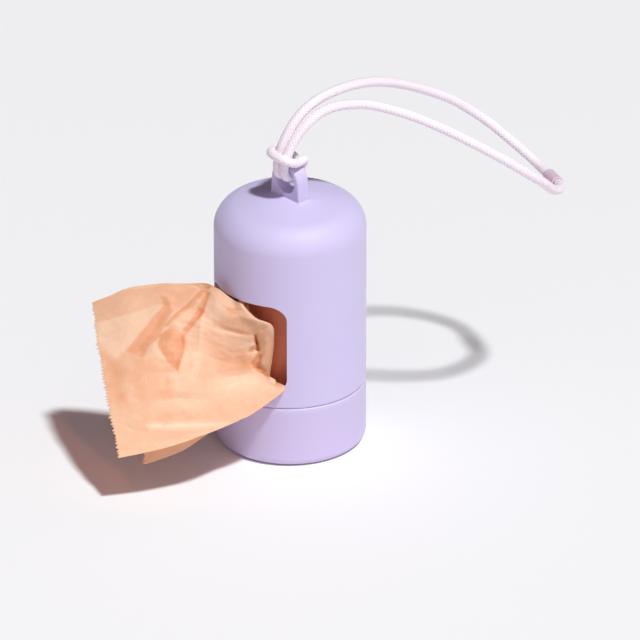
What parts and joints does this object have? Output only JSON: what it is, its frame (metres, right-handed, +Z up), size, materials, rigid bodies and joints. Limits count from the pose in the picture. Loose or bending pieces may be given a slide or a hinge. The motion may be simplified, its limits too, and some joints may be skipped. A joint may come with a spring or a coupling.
{
  "type": "dog waste bag dispenser",
  "caption": "Round capsule dispenser for a roll of dog waste bags, with a screw base cap, side window, drawn-out bag, top eye lug and girth-hitched cord loop.",
  "frame": {"origin": "middle of the base cap's flat underside, on the floor", "axes": "+Z up along the dispenser's axis; -Y out through the middle of the window, which is also the axis of the eye in the lug"},
  "size_m": [0.0857, 0.1532, 0.1087],
  "materials": {
    "body_plastic": "soft-touch moulded, fine matt",
    "cap_plastic": "soft-touch moulded, fine matt",
    "core_paper": "raw spiral-wound paper",
    "roll_film": "thin film, wound tight",
    "bag_film": "thin crinkled film, satin",
    "cord": "fine braid over an elastic core",
    "sleeve": "satin crimped sleeve"
  },
  "bodies": {
    "housing": {"shell": "body_plastic", "lead_bag": "bag_film", "cord_loop": "cord", "cord_sleeve": "sleeve"},
    "core": {"roll_core": "core_paper"},
    "cap": {"base_cap": "cap_plastic"},
    "roll": {"bag_roll": "roll_film"}
  },
  "joints": [
    {"name": "cap_travel", "type": "slide", "parent": "housing", "child": "core", "axis": [0, 0, -1], "range_m": [0, 0.0042]},
    {"name": "cap_turn", "type": "hinge", "parent": "core", "child": "cap", "pos_m": [0, 0, 0.0193], "axis": [0, 0, -1], "range_deg": [0, 630]},
    {"name": "roll_spin", "type": "hinge", "parent": "core", "child": "roll", "pos_m": [0, 0, 0.0325], "axis": [0, 0, 1], "continuous": true}
  ],
  "couplings": [
    {"joint": "cap_travel", "follows": "cap_turn", "m_per_rad": 0.00038197}
  ]
}
